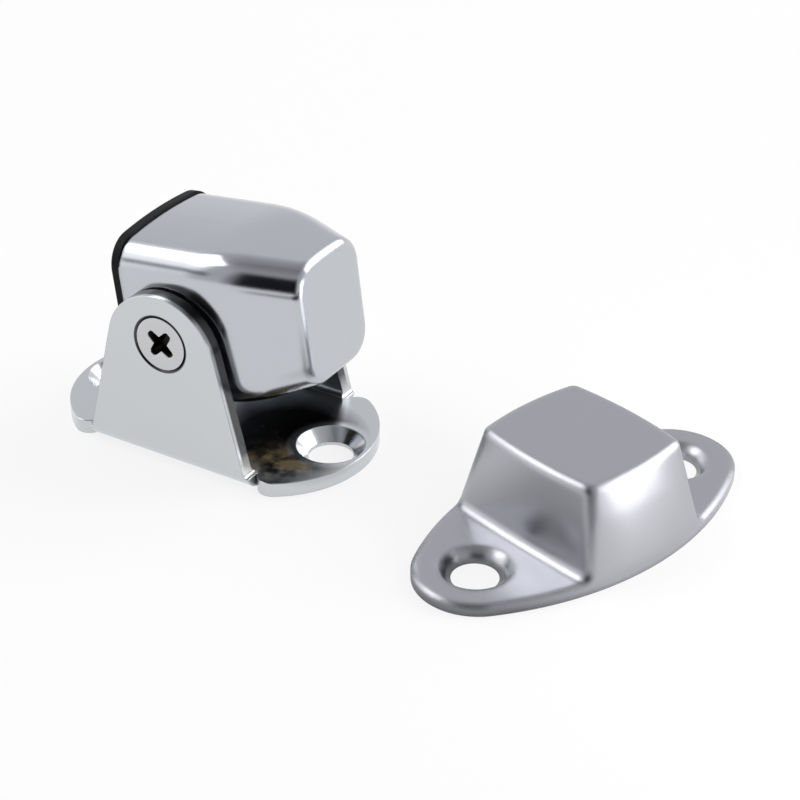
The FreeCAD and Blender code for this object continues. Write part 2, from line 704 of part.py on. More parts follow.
def runs_along_head(edge):
    """True for the edges between the roof or floor and the sides."""
    low, high = spans(edge, "x")
    middle = (spans(edge, "y")[0] + spans(edge, "y")[1]) / 2
    return high - low > NEAR and abs(middle) > value("end_half") / 2


long_edges = dress(housing, "Fillet", "long_edges", shaped, runs_along_head, "head_corner")
rounded_end = dress(
    housing, "Fillet", "end_edges", long_edges,
    lambda edge: lies_at(edge, "x", value("end_reach")), "end_edge_fillet")
sections = []
for name, place, outline_sizes in (
    ("mouth", "-mouth_reach", ("cavity_half", "cavity_mouth_top", "cavity_mouth_bottom")),
    ("crease", "crease_reach", ("cavity_half", "cavity_crease_top", "cavity_crease_bottom")),
    ("end", "cavity_reach", ("cavity_end_half", "cavity_end_top", "cavity_end_bottom")),
):
    sections.append(new_sketch(housing, "cavity_" + name, "YZ_Plane", place))
    head_section(sections[-1], *outline_sizes, "cavity_corner")
loft(housing, "SubtractiveLoft", "cavity", sections)
cross_hole = new_sketch(housing, "screw_way", "XZ_Plane")
circle(cross_hole, "housing_hole_radius")
pocket(housing, "screw_holes", cross_hole)

# Magnet carrier: one moulding, a plug in the housing with a rim over the mouth's edge,
# a well for the magnet in its face and a bore across it that turns on the screw.
carrier = head_body("magnet_carrier")
plug_section = new_sketch(carrier, "plug_section", "YZ_Plane", "-mouth_reach")
head_section(plug_section, "plug_half", "plug_top", "plug_bottom", "plug_corner")
pad(carrier, "plug", plug_section, "plug_length")
rim_section = new_sketch(carrier, "bezel_section", "YZ_Plane", "-mouth_reach")
head_section(rim_section, "bezel_half", "bezel_top", "bezel_bottom", "bezel_corner")
bezel = pad(carrier, "bezel", rim_section, "bezel_thickness", backwards=True)
softened = dress(
    carrier, "Fillet", "bezel_edge", bezel,
    lambda edge: lies_at(edge, "x", -value("face_reach")), "bezel_edge")
well = new_sketch(carrier, "magnet_well", "YZ_Plane", "-face_reach")
rectangle(well, "well_half", "well_upper", "-well_lower")
pocket(carrier, "well", well, "well_depth", backwards=True)
bore = new_sketch(carrier, "screw_bore", "XZ_Plane")
circle(bore, "bore_radius")
pocket(carrier, "bore", bore)

# Magnet and its two steel pole plates, stacked up the well. The plates stand proud of
# the carrier, so that they meet the strike first.
magnet = head_body("magnet_block")
magnet_face = new_sketch(magnet, "magnet_face", "YZ_Plane", "-magnet_front")
rectangle(magnet_face, "magnet_half_width", "magnet_upper", "-magnet_lower")
magnet_body = pad(magnet, "magnet_bar", magnet_face, "magnet_depth")
dress(
    magnet, "Chamfer", "magnet_edges", magnet_body,
    lambda edge: lies_at(edge, "x", -value("magnet_front")), "magnet_chamfer")
for name, low, high in (
    ("pole_plate_upper", "magnet_upper", "pole_upper"),
    ("pole_plate_lower", "-pole_lower", "-magnet_lower"),
):
    plate = head_body(name)
    plate_face = new_sketch(plate, name + "_face", "YZ_Plane", "-pole_front")
    rectangle(plate_face, "magnet_half_width", high, low)
    pad(plate, name + "_bar", plate_face, "pole_depth")

# Strike: a casting with a lens-shaped foot, two screw tabs and a low block whose flat
# top the magnet grips. Drawn in its own frame, with +X along its line of screws.
strike = new_body("strike", {"x": "strike_x", "y": "strike_y"}, UP, "strike_turn")


def block_outline(sketch, half):
    """Rectangle from side to side of the slab, as far along the strike as half."""
    rectangle(sketch, half, "slab_half", "-slab_half")


def bulged_section(sketch, wide, radius, back):
    """Straight sides, and ends that bulge outwards on arcs centred far back."""
    half = value(wide)
    around = value(radius)
    centre = -value(back)
    reach = math.asin(half / around)
    corner = centre + around * math.cos(reach)
    draw(sketch, [
        circle_arc((centre, 0), around, -reach, reach),
        line((corner, half), (-corner, half)),
        circle_arc((-centre, 0), around, 2 * QUARTER - reach, 2 * QUARTER + reach),
        line((-corner, -half), (corner, -half)),
    ])
    straighten(sketch, "Horizontal", 1, 3)
    pin(sketch, 1, 1, up=wide)
    pin(sketch, 3, 1, up="-" + wide)
    pin(sketch, 0, 3, "-" + back, "0")
    pin(sketch, 2, 3, back, "0")
    drive(sketch, "Radius", (0,), radius)
    drive(sketch, "Radius", (2,), radius)


# Slab and block run wider than the strike until the lens outline trims them, so that the
# fillet along the foot of each end wall is straight and runs out through both sides.
slab_outline = new_sketch(strike, "slab_outline", "XY_Plane")
block_outline(slab_outline, "slab_reach")
pad(strike, "slab", slab_outline, "strike_thickness")
block_foot = new_sketch(strike, "block_foot", "XY_Plane")
block_outline(block_foot, "foot_half")
block_top = new_sketch(strike, "block_top", "XY_Plane", "block_height")
bulged_section(block_top, "slab_half", "top_end_radius", "top_end_back")
block = loft(strike, "AdditiveLoft", "block", [block_foot, block_top])


def crosses_foot(edge):
    """True for the edges where the block's end walls meet the slab."""
    farthest = max(abs(end) for end in spans(edge, "x"))
    return lies_at(edge, "z", value("strike_thickness")) and farthest < value("foot_half") + NEAR


dress(strike, "Fillet", "block_foot_fillets", block, crosses_foot, "block_foot_fillet")
tab_centre = value("strike_end_centre")
tab_radius = value("strike_end_radius")
side_radius = value("strike_side_radius")
side_centre = value("strike_side_centre")
turn = math.atan2(side_centre, tab_centre)
lens = new_sketch(strike, "lens_outline", "XY_Plane")
polygon(lens, [
    ("-frame_reach", "-frame_half"), ("frame_reach", "-frame_half"),
    ("frame_reach", "frame_half"), ("-frame_reach", "frame_half"),
])
draw(lens, [
    circle_arc((tab_centre, 0), tab_radius, -turn, turn),
    circle_arc((0, -side_centre), side_radius, turn, 2 * QUARTER - turn),
    circle_arc((-tab_centre, 0), tab_radius, 2 * QUARTER - turn, 2 * QUARTER + turn),
    circle_arc((0, side_centre), side_radius, 2 * QUARTER + turn, 4 * QUARTER - turn),
])
pin(lens, 4, 3, "strike_end_centre", "0")
pin(lens, 6, 3, "-strike_end_centre", "0")
for index, radius in ((4, "strike_end_radius"), (6, "strike_end_radius"),
                      (5, "strike_side_radius"), (7, "strike_side_radius")):
    drive(lens, "Radius", (index,), radius)
pocket(strike, "lens_trim", lens)

# The side walls follow the lens: a waste section, turned about the centre of the lens's
# side, leaves a drafted wall that flares out to the strike's edge.
for name, side, other in (("left", "", "-"), ("right", "-", "")):
    waste = new_sketch(strike, name + "_side_waste", "YZ_Plane")
    rim, bend_corner, brow, brow_out, rim_out, axis_foot, axis_top = (
        (signed_value(across), signed_value(up)) for across, up in (
            (side + "strike_half_width", "strike_thickness"),
            (side + "flare_corner", "flare_corner_height"),
            (side + "brow_half", "brow_height"),
            (side + "slab_half", "brow_height"),
            (side + "slab_half", "strike_thickness"),
            (other + "strike_side_centre", "0"),
            (other + "strike_side_centre", "brow_height"),
        ))
    draw(waste, [
        *rounded_bend(rim, bend_corner, brow, value("flare_round")),
        line(brow, brow_out),
        line(brow_out, rim_out),
        line(rim_out, rim),
    ])
    pin(waste, 0, 1, side + "strike_half_width", "strike_thickness")
    pin(waste, 2, 2, side + "brow_half", "brow_height")
    pin(waste, 4, 1, side + "slab_half", "brow_height")
    pin(waste, 4, 2, side + "slab_half", "strike_thickness")
    pin_bend(waste, 0, side + "flare_corner", "flare_corner_height", "flare_round")
    axis = waste.addGeometry(line(axis_foot, axis_top), True)
    pin(waste, axis, 1, other + "strike_side_centre", "0")
    pin(waste, axis, 2, other + "strike_side_centre", "brow_height")
    flared = groove(strike, name + "_side", waste)


def is_block_corner(edge):
    """True for the edges that rise from the slab between the end walls and the sides."""
    low, high = spans(edge, "z")
    along = min(abs(end) for end in spans(edge, "x"))
    across = min(abs(end) for end in spans(edge, "y"))
    rises = low > value("strike_thickness") - NEAR and high - low > value("block_foot_fillet") / 2
    return rises and along > value("top_half_length") / 2 and across > value("top_half_width") / 2


def is_tab_edge(edge):
    farthest = max(abs(end) for end in spans(edge, "x"))
    return lies_at(edge, "z", value("strike_thickness")) and farthest > value("strike_end_centre")


corners = dress(strike, "Fillet", "block_corners", flared, is_block_corner, "block_corner")
block_edges = dress(
    strike, "Fillet", "block_top_edges", corners,
    lambda edge: lies_at(edge, "z", value("block_height")), "block_top_fillet")
dress(strike, "Fillet", "tab_edges", block_edges, is_tab_edge, "strike_edge")
hollow_foot = new_sketch(strike, "hollow_foot", "XY_Plane")
rectangle(hollow_foot, "hollow_foot_half", "hollow_foot_width", "-hollow_foot_width")
hollow_top = new_sketch(strike, "hollow_top", "XY_Plane", "hollow_height")
bulged_section(hollow_top, "hollow_top_width", "hollow_end_radius", "top_end_back")
loft(strike, "SubtractiveLoft", "hollow", [hollow_foot, hollow_top])
tab_holes = new_sketch(strike, "strike_fixings", "XY_Plane", "strike_thickness")
circle(tab_holes, "fixing_radius", "strike_screw_place")
circle(tab_holes, "fixing_radius", "-strike_screw_place")
countersunk(strike, "strike_holes", tab_holes, "fixing_hole", "fixing_countersink")

doc.recompute()
for item in doc.Objects:
    if any(word in item.State for word in ("Invalid", "Error")):
        raise RuntimeError("%s did not build: %s" % (item.Label, item.State))
for body in doc.findObjects("PartDesign::Body"):
    shape = body.Shape
    if shape.isNull() or not shape.isValid():
        raise RuntimeError("%s has no valid shape" % body.Label)
    if len(shape.Solids) != 1:
        raise RuntimeError("%s is %d solids" % (body.Label, len(shape.Solids)))
    shape.exportStep("parts/%s.step" % body.Label)
    box = shape.BoundBox
    print("%-18s volume %8.1f  x %7.2f %7.2f  y %7.2f %7.2f  z %6.2f %6.2f" % (
        body.Label, shape.Volume, box.XMin, box.XMax, box.YMin, box.YMax, box.ZMin, box.ZMax))
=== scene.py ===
import math

import bmesh
import bpy
from mathutils import Matrix, Vector


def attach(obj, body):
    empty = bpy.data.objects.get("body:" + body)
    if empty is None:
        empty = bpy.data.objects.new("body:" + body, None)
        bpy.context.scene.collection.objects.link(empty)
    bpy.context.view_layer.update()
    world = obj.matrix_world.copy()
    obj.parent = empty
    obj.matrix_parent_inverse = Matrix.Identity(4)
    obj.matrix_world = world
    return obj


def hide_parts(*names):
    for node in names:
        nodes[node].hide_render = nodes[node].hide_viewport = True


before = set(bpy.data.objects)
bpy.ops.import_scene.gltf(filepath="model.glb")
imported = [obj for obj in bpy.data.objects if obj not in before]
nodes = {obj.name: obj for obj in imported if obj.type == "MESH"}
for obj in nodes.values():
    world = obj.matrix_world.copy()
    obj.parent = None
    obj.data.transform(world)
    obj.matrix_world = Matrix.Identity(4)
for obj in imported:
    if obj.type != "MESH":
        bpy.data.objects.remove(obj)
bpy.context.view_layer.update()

# Base bracket: one strip of 2 mm stainless steel, blanked, pierced, countersunk and bent
# up into two ears. It was tumbled, which rounded its cut edges, and buffed to a soft
# mirror. Two screws fix it to the wall or the cabinet.

MM = 0.001


def linear(code):
    """Linear RGBA of an sRGB hex colour."""
    channels = [int(code[start:start + 2], 16) / 255 for start in (1, 3, 5)]
    return [c / 12.92 if c <= 0.04045 else ((c + 0.055) / 1.055) ** 2.4 for c in channels] + [1.0]


def add_node(tree, kind, settings=None, links=None):
    """A node of that kind, with its properties or sockets set and its inputs linked."""
    node = tree.nodes.new(kind)
    for name, value in (settings or {}).items():
        if isinstance(name, str) and hasattr(node, name):
            setattr(node, name, value)
        else:
            node.inputs[name].default_value = value
    for name, source in (links or {}).items():
        tree.links.new(source, node.inputs[name])
    return node


def new_material(name):
    """An empty node material and its tree."""
    material = bpy.data.materials.new(name)
    material.use_nodes = True
    material.node_tree.nodes.clear()
    return material, material.node_tree


PIVOT_HEIGHT = 18.4 * MM
EAR_OUTER = 12.95 * MM
HOLE_PLACE = 17.1 * MM
TUMBLED_EDGE = 0.25 * MM

BUFFED_STEEL = "#cccfd2"
BUFF_LINE_LENGTH = 9 * MM
BUFF_LINE_PITCH = 0.16 * MM
PRESS_RIPPLE = 8 * MM
GLOSS_CLOUD = 3 * MM

# Painted shade fills the gap round the pivot screw's head, out to the countersink's rim.
GAP_SHADE = "#121114"
GAP_SHADE_RADIUS = 4.15 * MM
GAP_SHADE_FADE = 0.12 * MM
GAP_SHADE_SHARE = 0.9

# Painted shade lies in a flat patch under the head and stops short of the fixing hole.
HEAD_SHADE = "#131110"
HEAD_SHADE_X = 11.5 * MM
HEAD_SHADE_Y = -1.5 * MM
HEAD_SHADE_Z = 2 * MM
HEAD_SHADE_FLATNESS = 3
HEAD_SHADE_FULL = 7 * MM
HEAD_SHADE_END = 11 * MM
HEAD_SHADE_SHARE = 0.97
HEAD_SHADE_FLECK = 1.3 * MM
UNSHADED_RADIUS = 5 * MM
UNSHADED_FADE = 1 * MM

# Brown, less metallic blotches cover the painted shade, towards the near side of the round end.
BLOTCH_BROWN = "#7a6a4c"
BLOTCH_WAY = (0.6, -0.8, 0)
BLOTCH_START = 8 * MM
BLOTCH_FULL = 12.5 * MM
BLOTCH_SIZE = 2.6 * MM
BLOTCH_METALLIC = 0.1

# The ears' blanked edges keep the steel's colour near the outer face and carry a painted dark reflection
# behind it.
EDGE_REFLECTION_DARK = "#26241f"
BRIGHT_BAND_DEPTH = 0.5 * MM
EDGE_DARK_DEPTH = 0.75 * MM
EDGE_DARK_FOOT = 2.5 * MM
EDGE_DARK_TOP = 5 * MM
EDGE_DARK_SHARE = 0.85

# Buffed stainless steel: fine buffing lines along the strip, a slight ripple left by the
# press and a cloudy gloss, so that reflections are soft and waver a little. Painted shade
# lies in the gap round the pivot screw's head and under the head, with brown, less metallic
# blotches over it, and the ears' edges carry a painted dark reflection.
buffed_stainless, tree = new_material("buffed_stainless")
place = add_node(tree, "ShaderNodeTexCoord").outputs["Object"]
softened = add_node(tree, "ShaderNodeBevel", {"samples": 6, "Radius": TUMBLED_EDGE}).outputs["Normal"]
line_place = add_node(
    tree, "ShaderNodeMapping",
    {"Scale": (1 / BUFF_LINE_LENGTH, 1 / BUFF_LINE_PITCH, 1 / BUFF_LINE_PITCH)}, {"Vector": place})
lines = add_node(tree, "ShaderNodeTexNoise", {"Scale": 1.0, "Detail": 2.0},
                 {"Vector": line_place.outputs["Vector"]})
lines_bump = add_node(tree, "ShaderNodeBump", {"Strength": 0.04, "Distance": 0.02 * MM},
                      {"Height": lines.outputs["Fac"], "Normal": softened})
ripple = add_node(tree, "ShaderNodeTexNoise", {"Scale": 1 / PRESS_RIPPLE, "Detail": 1.0}, {"Vector": place})
ripple_bump = add_node(tree, "ShaderNodeBump", {"Strength": 0.05, "Distance": 0.2 * MM},
                       {"Height": ripple.outputs["Fac"], "Normal": lines_bump.outputs["Normal"]})
clouds = add_node(tree, "ShaderNodeTexNoise", {"Scale": 1 / GLOSS_CLOUD, "Detail": 5.0}, {"Vector": place})
gloss = add_node(tree, "ShaderNodeMapRange", {"To Min": 0.16, "To Max": 0.28},
                 {"Value": clouds.outputs["Fac"]})
# Where the painted shade in the gap lies.
from_pivot = add_node(tree, "ShaderNodeVectorMath",
                      {"operation": "MULTIPLY_ADD", 1: (1, 0, 1), 2: (0, 0, -PIVOT_HEIGHT)}, {0: place})
from_pivot = add_node(tree, "ShaderNodeVectorMath", {"operation": "LENGTH"},
                      {0: from_pivot.outputs["Vector"]})
in_gap = add_node(tree, "ShaderNodeMapRange",
                  {"From Min": GAP_SHADE_RADIUS - GAP_SHADE_FADE, "From Max": GAP_SHADE_RADIUS,
                   "To Min": GAP_SHADE_SHARE, "To Max": 0.0},
                  {"Value": from_pivot.outputs["Value"]})
# Where the painted shade under the head lies.
flecks = add_node(tree, "ShaderNodeTexNoise", {"Scale": 1 / HEAD_SHADE_FLECK, "Detail": 2.5},
                  {"Vector": place})
fleck_share = add_node(tree, "ShaderNodeMapRange",
                       {"From Min": 0.1, "From Max": 0.36, "To Max": HEAD_SHADE_SHARE},
                       {"Value": flecks.outputs["Fac"]})
from_head = add_node(tree, "ShaderNodeVectorMath",
                     {"operation": "MULTIPLY_ADD", 1: (1, 1, HEAD_SHADE_FLATNESS),
                      2: (-HEAD_SHADE_X, -HEAD_SHADE_Y, -HEAD_SHADE_FLATNESS * HEAD_SHADE_Z)}, {0: place})
from_head = add_node(tree, "ShaderNodeVectorMath", {"operation": "LENGTH"},
                     {0: from_head.outputs["Vector"]})
under_head = add_node(tree, "ShaderNodeMapRange",
                      {"From Min": HEAD_SHADE_FULL, "From Max": HEAD_SHADE_END, "To Min": 1.0, "To Max": 0.0},
                      {"Value": from_head.outputs["Value"]})
from_hole = add_node(tree, "ShaderNodeVectorMath",
                     {"operation": "MULTIPLY_ADD", 1: (1, 1, 0), 2: (-HOLE_PLACE, 0, 0)}, {0: place})
from_hole = add_node(tree, "ShaderNodeVectorMath", {"operation": "LENGTH"},
                     {0: from_hole.outputs["Vector"]})
outside_hole = add_node(tree, "ShaderNodeMapRange",
                        {"From Min": UNSHADED_RADIUS, "From Max": UNSHADED_RADIUS + UNSHADED_FADE},
                        {"Value": from_hole.outputs["Value"]})
head_shade = add_node(tree, "ShaderNodeMath", {"operation": "MULTIPLY"},
                   {0: fleck_share.outputs["Result"], 1: under_head.outputs["Result"]})
head_shade = add_node(tree, "ShaderNodeMath", {"operation": "MULTIPLY"},
                   {0: head_shade.outputs["Value"], 1: outside_hole.outputs["Result"]})
# Where the brown blotches cover it.
blotches = add_node(tree, "ShaderNodeTexNoise", {"Scale": 1 / BLOTCH_SIZE, "Detail": 3.0},
                    {"Vector": place})
blotch_share = add_node(tree, "ShaderNodeMapRange", {"From Min": 0.36, "From Max": 0.6},
                        {"Value": blotches.outputs["Fac"]})
towards_rim = add_node(tree, "ShaderNodeVectorMath", {"operation": "DOT_PRODUCT", 1: BLOTCH_WAY},
                       {0: place})
rim_share = add_node(tree, "ShaderNodeMapRange", {"From Min": BLOTCH_START, "From Max": BLOTCH_FULL},
                     {"Value": towards_rim.outputs["Value"]})
brown_share = add_node(tree, "ShaderNodeMath", {"operation": "MULTIPLY"},
                       {0: blotch_share.outputs["Result"], 1: rim_share.outputs["Result"]})
# Brown blotches over the painted shade under the head.
shade_and_blotches = add_node(tree, "ShaderNodeMix", {"data_type": "RGBA", 6: linear(HEAD_SHADE), 7: linear(BLOTCH_BROWN)},
                 {0: brown_share.outputs["Value"]})
steel = add_node(tree, "ShaderNodeMix", {"data_type": "RGBA", 6: linear(BUFFED_STEEL)},
                 {0: head_shade.outputs["Value"], 7: shade_and_blotches.outputs[2]})
# The pivot screw's head, and so the painted shade in its gap, is in the near ear.
across = add_node(tree, "ShaderNodeSeparateXYZ", None, {"Vector": place})
near_ear = add_node(tree, "ShaderNodeMath", {"operation": "LESS_THAN", 1: 0.0}, {0: across.outputs["Y"]})
in_near_gap = add_node(tree, "ShaderNodeMath", {"operation": "MULTIPLY"},
                       {0: in_gap.outputs["Result"], 1: near_ear.outputs["Value"]})
# Where the painted dark reflection lies: on the ears' edges, behind the bright band, and on no broad face.
off_centre = add_node(tree, "ShaderNodeMath", {"operation": "ABSOLUTE"}, {0: across.outputs["Y"]})
behind_bright_band = add_node(tree, "ShaderNodeMapRange",
                          {"From Min": EAR_OUTER - EDGE_DARK_DEPTH, "From Max": EAR_OUTER - BRIGHT_BAND_DEPTH,
                           "To Min": 1.0, "To Max": 0.0}, {"Value": off_centre.outputs["Value"]})
above_sheet = add_node(tree, "ShaderNodeMapRange", {"From Min": EDGE_DARK_FOOT, "From Max": EDGE_DARK_TOP},
                       {"Value": across.outputs["Z"]})
facing = add_node(tree, "ShaderNodeSeparateXYZ", None,
                  {"Vector": add_node(tree, "ShaderNodeTexCoord").outputs["Normal"]})
sideways = add_node(tree, "ShaderNodeMath", {"operation": "ABSOLUTE"}, {0: facing.outputs["Y"]})
is_edge = add_node(tree, "ShaderNodeMapRange",
                   {"From Min": 0.3, "From Max": 0.6, "To Min": EDGE_DARK_SHARE, "To Max": 0.0},
                   {"Value": sideways.outputs["Value"]})
edge_dark = add_node(tree, "ShaderNodeMath", {"operation": "MULTIPLY"},
                {0: behind_bright_band.outputs["Result"], 1: above_sheet.outputs["Result"]})
edge_dark = add_node(tree, "ShaderNodeMath", {"operation": "MULTIPLY"},
                {0: edge_dark.outputs["Value"], 1: is_edge.outputs["Result"]})
# The ears' edges get their painted dark reflection, then the gap its painted shade.
edged = add_node(tree, "ShaderNodeMix", {"data_type": "RGBA", 7: linear(EDGE_REFLECTION_DARK)},
                 {0: edge_dark.outputs["Value"], 6: steel.outputs[2]})
gap_shaded = add_node(tree, "ShaderNodeMix", {"data_type": "RGBA", 7: linear(GAP_SHADE)},
                  {0: in_near_gap.outputs["Value"], 6: edged.outputs[2]})
shaded_blotches = add_node(tree, "ShaderNodeMath", {"operation": "MULTIPLY"},
                {0: head_shade.outputs["Value"], 1: brown_share.outputs["Value"]})
bare = add_node(tree, "ShaderNodeMapRange", {"To Min": 1.0, "To Max": BLOTCH_METALLIC},
                {"Value": shaded_blotches.outputs["Value"]})
shader = add_node(tree, "ShaderNodeBsdfPrincipled", None,
                  {"Base Color": gap_shaded.outputs[2], "Roughness": gloss.outputs["Result"],
                   "Metallic": bare.outputs["Result"], "Normal": ripple_bump.outputs["Normal"]})
add_node(tree, "ShaderNodeOutputMaterial", None, {"Surface": shader.outputs["BSDF"]})
nodes["base_bracket"].material_slots[0].material = buffed_stainless

# Pivot screw: a countersunk M4 machine screw of nickel plated steel with a cross recess.
# Its head lies flush in the near ear and its end is screwed into the far ear; the head
# of the catch turns on its shank.

SCREW_NEAR = -12.93 * MM
SCREW_FAR = 12.65 * MM
HEAD_RADIUS = 3.7 * MM
HEAD_EDGE = 0.12 * MM
HEAD_EDGE_EASE = 0.3 * HEAD_EDGE
HEAD_RIM = 0.15 * MM
SHANK_RADIUS = 2.0 * MM
TIP_CHAMFER = 0.5 * MM
CROSS_REACH = 2.2 * MM
CROSS_HALF_ARM = 0.55 * MM
CROSS_HALF_TIP = 0.6 * CROSS_HALF_ARM
CROSS_SHOULDER = CROSS_REACH - 0.3 * MM
CROSS_THROAT = 0.72 * MM
CROSS_DEPTH = 1.6 * MM
CROSS_FLOOR_SHARE = 0.55
CROSS_TURN = math.radians(38)
SCREW_STEPS = 64
SOFT_EDGE = 0.07 * MM
SHARP_ANGLE = math.radians(35)
WELD_DISTANCE = 0.001 * MM
PLATED_STEEL = "#c8cacc"
TURNED_RING = 0.12 * MM
PLATE_CLOUD = 1.5 * MM

# Dark brown in the recess: it starts just under the head's face.
RECESS_BROWN = "#2a211c"
RECESS_BROWN_START = SCREW_NEAR + 0.04 * MM
RECESS_BROWN_FULL = SCREW_NEAR + 0.12 * MM
RECESS_BROWN_FLOOR = SCREW_NEAR + 1.1 * CROSS_DEPTH
RECESS_BROWN_RADIUS = 2.6 * MM
RECESS_BROWN_FADE = 0.3 * MM

# The head, its cone and the shank are spun from one profile, then closed at the far end.
screw_mesh = bmesh.new()
cone_end = SCREW_NEAR + HEAD_RIM + HEAD_RADIUS - SHANK_RADIUS
profile = [(SCREW_NEAR, HEAD_RADIUS - HEAD_EDGE),
           (SCREW_NEAR + HEAD_EDGE_EASE, HEAD_RADIUS - HEAD_EDGE_EASE),
           (SCREW_NEAR + HEAD_EDGE, HEAD_RADIUS), (SCREW_NEAR + HEAD_RIM, HEAD_RADIUS),
           (cone_end, SHANK_RADIUS), (SCREW_FAR - TIP_CHAMFER, SHANK_RADIUS),
           (SCREW_FAR, SHANK_RADIUS - TIP_CHAMFER)]
points = [screw_mesh.verts.new((radius, along, 0)) for along, radius in profile]
rails = [screw_mesh.edges.new(pair) for pair in zip(points, points[1:])]
bmesh.ops.spin(screw_mesh, geom=points + rails, cent=(0, 0, 0), axis=(0, 1, 0), dvec=(0, 0, 0),
               angle=2 * math.pi, steps=SCREW_STEPS, use_merge=True)
bmesh.ops.remove_doubles(screw_mesh, verts=screw_mesh.verts[:], dist=WELD_DISTANCE)
near_rim = [edge for edge in screw_mesh.edges
            if edge.is_boundary and all(vert.co.y < SCREW_NEAR + WELD_DISTANCE for vert in edge.verts)]
far_rim = [edge for edge in screw_mesh.edges
           if edge.is_boundary and all(vert.co.y > SCREW_FAR - WELD_DISTANCE for vert in edge.verts)]
bmesh.ops.triangle_fill(screw_mesh, edges=far_rim, use_beauty=True)
# The recess is outlined in the head's face, and sunk with walls that draw in to its floor.
corners = []
for quarter in range(4):
    swing = Matrix.Rotation(CROSS_TURN + quarter * math.pi / 2, 4, "Y")
    for out, side in ((CROSS_THROAT, -CROSS_THROAT), (CROSS_SHOULDER, -CROSS_HALF_ARM),
                      (CROSS_REACH, -CROSS_HALF_TIP), (CROSS_REACH, CROSS_HALF_TIP),
                      (CROSS_SHOULDER, CROSS_HALF_ARM)):
        corners.append(screw_mesh.verts.new(swing @ Vector((out, SCREW_NEAR, -side))))
mouth = [screw_mesh.edges.new((corners[index - 1], corners[index])) for index in range(len(corners))]
bmesh.ops.triangle_fill(screw_mesh, edges=near_rim + mouth, use_beauty=True)
walls = bmesh.ops.extrude_edge_only(screw_mesh, edges=mouth)["geom"]
deep = [item for item in walls if isinstance(item, bmesh.types.BMVert)]
for vert in deep:
    vert.co = Vector((vert.co.x * CROSS_FLOOR_SHARE, vert.co.y + CROSS_DEPTH, vert.co.z * CROSS_FLOOR_SHARE))
floor_edges = [item for item in walls if isinstance(item, bmesh.types.BMEdge) and item.is_boundary]
bmesh.ops.triangle_fill(screw_mesh, edges=floor_edges, use_beauty=True)
bmesh.ops.bevel(screw_mesh, geom=mouth, offset=SOFT_EDGE, offset_type="OFFSET", affect="EDGES",
                segments=2, profile=0.5, material=-1)
bmesh.ops.translate(screw_mesh, verts=screw_mesh.verts[:], vec=(0, 0, PIVOT_HEIGHT))
bmesh.ops.recalc_face_normals(screw_mesh, faces=screw_mesh.faces[:])
for face in screw_mesh.faces:
    face.smooth = True
for edge in screw_mesh.edges:
    edge.smooth = len(edge.link_faces) == 2 and edge.calc_face_angle() < SHARP_ANGLE
screw_data = bpy.data.meshes.new("cross_screw")
screw_mesh.to_mesh(screw_data)
screw_mesh.free()
screw = bpy.data.objects.new("cross_screw", screw_data)
bpy.context.scene.collection.objects.link(screw)

# Nickel plated steel: fine turned rings about the axis with a warm, slightly cloudy
# shine, and dark brown in the recess, so that the cross reads dark.
plated_steel, tree = new_material("nickel_plated_steel")
place = add_node(tree, "ShaderNodeTexCoord").outputs["Object"]
from_axis = add_node(tree, "ShaderNodeVectorMath",
                     {"operation": "MULTIPLY_ADD", 1: (1, 0, 1), 2: (0, 0, -PIVOT_HEIGHT)}, {0: place})
from_axis = add_node(tree, "ShaderNodeVectorMath", {"operation": "LENGTH"},
                     {0: from_axis.outputs["Vector"]})
ring_count = add_node(tree, "ShaderNodeMath", {"operation": "MULTIPLY", 1: 1 / TURNED_RING},
                      {0: from_axis.outputs["Value"]})
rings = add_node(tree, "ShaderNodeTexNoise", {"noise_dimensions": "1D", "Scale": 1.0, "Detail": 2.0},
                 {"W": ring_count.outputs["Value"]})
rings_bump = add_node(tree, "ShaderNodeBump", {"Strength": 0.12, "Distance": 0.02 * MM},
                      {"Height": rings.outputs["Fac"]})
clouds = add_node(tree, "ShaderNodeTexNoise", {"Scale": 1 / PLATE_CLOUD, "Detail": 4.0}, {"Vector": place})
gloss = add_node(tree, "ShaderNodeMapRange", {"To Min": 0.2, "To Max": 0.34},
                 {"Value": clouds.outputs["Fac"]})
# Where the recess is dark brown.
depth = add_node(tree, "ShaderNodeSeparateXYZ", None, {"Vector": place}).outputs["Y"]
sunk = add_node(tree, "ShaderNodeMapRange", {"From Min": RECESS_BROWN_START, "From Max": RECESS_BROWN_FULL},
                {"Value": depth})
inside = add_node(tree, "ShaderNodeMapRange",
                  {"From Min": RECESS_BROWN_RADIUS, "From Max": RECESS_BROWN_RADIUS + RECESS_BROWN_FADE,
                   "To Min": 1.0, "To Max": 0.0},
                  {"Value": from_axis.outputs["Value"]})
above_shank = add_node(tree, "ShaderNodeMath", {"operation": "LESS_THAN", 1: RECESS_BROWN_FLOOR},
                       {0: depth})
recess = add_node(tree, "ShaderNodeMath", {"operation": "MULTIPLY"},
                  {0: sunk.outputs["Result"], 1: inside.outputs["Result"]})
recess = add_node(tree, "ShaderNodeMath", {"operation": "MULTIPLY"},
                  {0: recess.outputs["Value"], 1: above_shank.outputs["Value"]})
nickel = add_node(tree, "ShaderNodeMix", {"data_type": "RGBA", 6: linear(PLATED_STEEL), 7: linear(RECESS_BROWN)},
                  {0: recess.outputs["Value"]})
shader = add_node(tree, "ShaderNodeBsdfPrincipled", {"Metallic": 1.0},
                  {"Base Color": nickel.outputs[2], "Roughness": gloss.outputs["Result"],
                   "Normal": rings_bump.outputs["Normal"]})
add_node(tree, "ShaderNodeOutputMaterial", None, {"Surface": shader.outputs["BSDF"]})
screw_data.materials.append(plated_steel)
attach(screw, "base")
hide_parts("pivot_screw")

# Friction washers: two rings stamped from natural nylon sheet, one between each ear and
# the head. Squeezed by the ears, they hold the head where it is set.

NYLON = "#d9d7ce"
NYLON_GRAIN = 0.15 * MM
NYLON_SCATTER = 0.4 * MM

